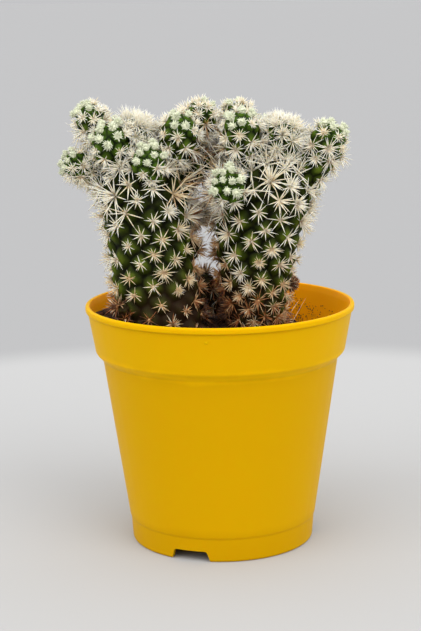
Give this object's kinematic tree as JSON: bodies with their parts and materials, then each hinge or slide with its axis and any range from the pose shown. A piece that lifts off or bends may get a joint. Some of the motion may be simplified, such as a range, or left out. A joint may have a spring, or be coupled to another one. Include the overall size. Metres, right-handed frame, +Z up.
{
  "type": "potted thimble cactus",
  "caption": "Two stout spiny cactus stems crowned with young offsets, standing in dark compost in a round yellow plastic nursery pot with a stepped rim band and a notched foot ring.",
  "frame": {"origin": "on the surface the pot stands on, under the middle of the whole object's outline; the pot's own axis stands 3.6 mm from it towards +X, because the plant leans out past the pot on the -X side", "axes": "+Z up along the pot's axis, -Y the front with the clear view of both stems, +X to the right seen from the front"},
  "size_m": [0.0922, 0.085, 0.1401],
  "materials": {
    "pot_plastic": "injection-moulded polypropylene, yellow through, satin with a fine moulded grain",
    "compost": "damp dark peat compost, crumbly, with fibres and a few pale grains",
    "cactus_flesh": "waxy green skin in tubercles, corky brown near the foot, paler green on young growth",
    "cactus_spines": "cream horn-like needles, tan to brown near the compost, with woolly areoles"
  },
  "bodies": {
    "root": {"pot": "pot_plastic", "soil": "compost", "stem_left": "cactus_flesh", "stem_right": "cactus_flesh"}
  },
  "joints": []
}
